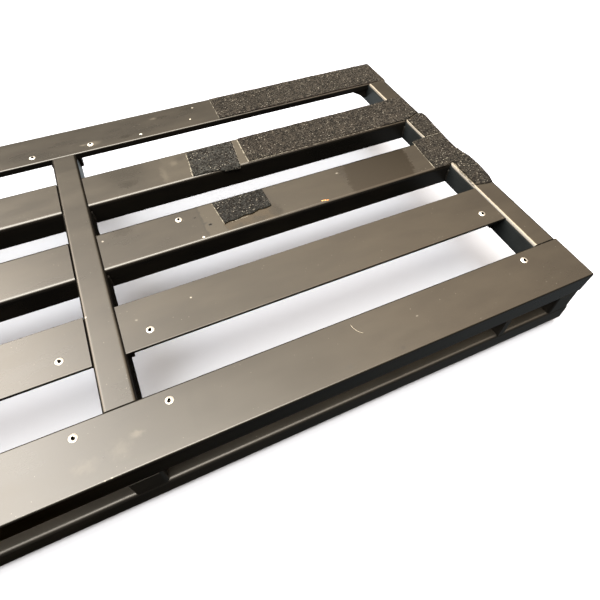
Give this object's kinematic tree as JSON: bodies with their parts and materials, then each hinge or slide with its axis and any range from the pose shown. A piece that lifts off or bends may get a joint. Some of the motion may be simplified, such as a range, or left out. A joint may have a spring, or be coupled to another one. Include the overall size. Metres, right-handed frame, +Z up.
{
  "type": "pedalboard",
  "caption": "Sloping slatted pedalboard frame of dark coated aluminium tube, channel and plate, riveted and welded, with rubber feet and worn loop tape on its right half.",
  "frame": {"origin": "on the floor, midway between left and right and between front and rear", "axes": "+X to the player's right along the slats, +Y to the rear up the slope, +Z up"},
  "size_m": [0.81, 0.4063, 0.0968],
  "materials": {
    "frame_coat": "satin brown-black powder coat on aluminium, scuffed",
    "bracket_coat": "satin black powder coat on aluminium",
    "rivet_alloy": "bare, slightly dulled",
    "cap_plastic": "moulded, fine texture",
    "foot_rubber": "matt moulded rubber",
    "screw_steel": "zinc plated",
    "loop_tape": "nylon loop pile, dusty and flattened"
  },
  "bodies": {
    "root": {"front_slat": "frame_coat", "rear_slat": "frame_coat", "side_rail_left": "frame_coat", "side_rail_right": "frame_coat", "centre_bar": "frame_coat", "plate_slat_left": "frame_coat", "plate_slat_right": "frame_coat", "third_slat_left": "frame_coat", "third_slat_right": "frame_coat", "fourth_slat_left": "frame_coat", "fourth_slat_right": "frame_coat", "front_lower_rail": "frame_coat", "rear_lower_rail": "frame_coat", "front_post_left": "frame_coat", "front_post_centre": "frame_coat", "front_post_right": "frame_coat", "rear_leg_left": "frame_coat", "rear_leg_centre": "frame_coat", "rear_leg_right": "frame_coat", "front_window_ribs": "frame_coat", "front_slat_clips": "bracket_coat", "plate_slat_clips": "bracket_coat", "rear_slat_clips": "bracket_coat", "rear_gussets": "bracket_coat", "deck_rivets": "rivet_alloy", "lower_rail_caps": "cap_plastic", "rubber_feet": "foot_rubber", "foot_screws": "screw_steel", "tape_rear_strip": "loop_tape", "tape_fourth_patch": "loop_tape", "tape_fourth_strip": "loop_tape", "tape_third_patch": "loop_tape", "tape_third_end": "loop_tape", "tape_rail_piece": "loop_tape"}
  },
  "joints": []
}
